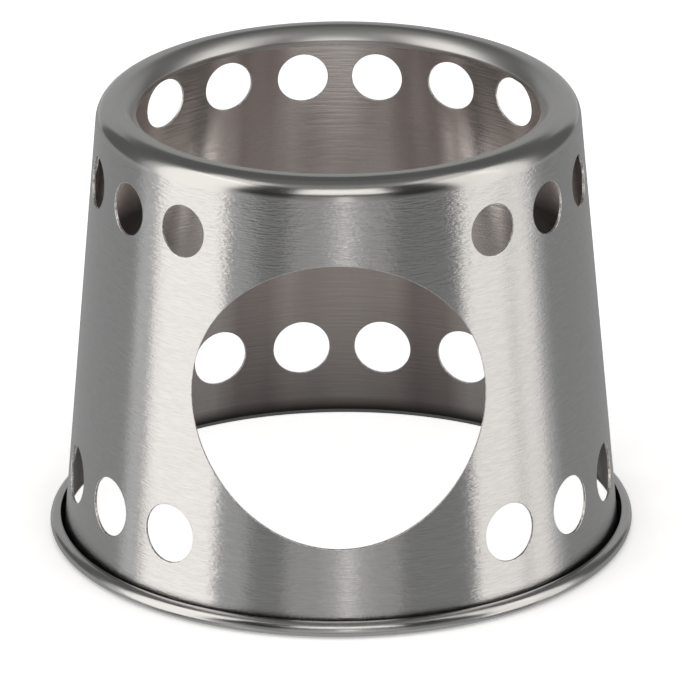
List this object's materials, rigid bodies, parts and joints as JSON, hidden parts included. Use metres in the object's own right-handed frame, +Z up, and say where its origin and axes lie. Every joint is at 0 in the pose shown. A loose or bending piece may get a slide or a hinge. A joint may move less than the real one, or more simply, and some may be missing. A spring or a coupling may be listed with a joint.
{
  "type": "camping stove",
  "caption": "Cone-shaped stainless camping stove: a tapered windscreen with a round fuel door, rows of air holes, a rolled pot collar and a curled foot.",
  "frame": {"origin": "on the cone's axis, on the surface that the stove stands on", "axes": "+Z up along the cone's axis, -Y out through the middle of the fuel door, +X to the right seen from the door"},
  "size_m": [0.114, 0.114, 0.0883],
  "materials": {
    "brushed_wall": "stainless, brushed round the cone",
    "satin_collar": "stainless, smooth satin as spun",
    "polished_curl": "stainless, polished by the rolling tool"
  },
  "bodies": {
    "root": {"tapered_wall": "brushed_wall", "rolled_collar": "satin_collar", "base_curl": "polished_curl"}
  },
  "joints": []
}
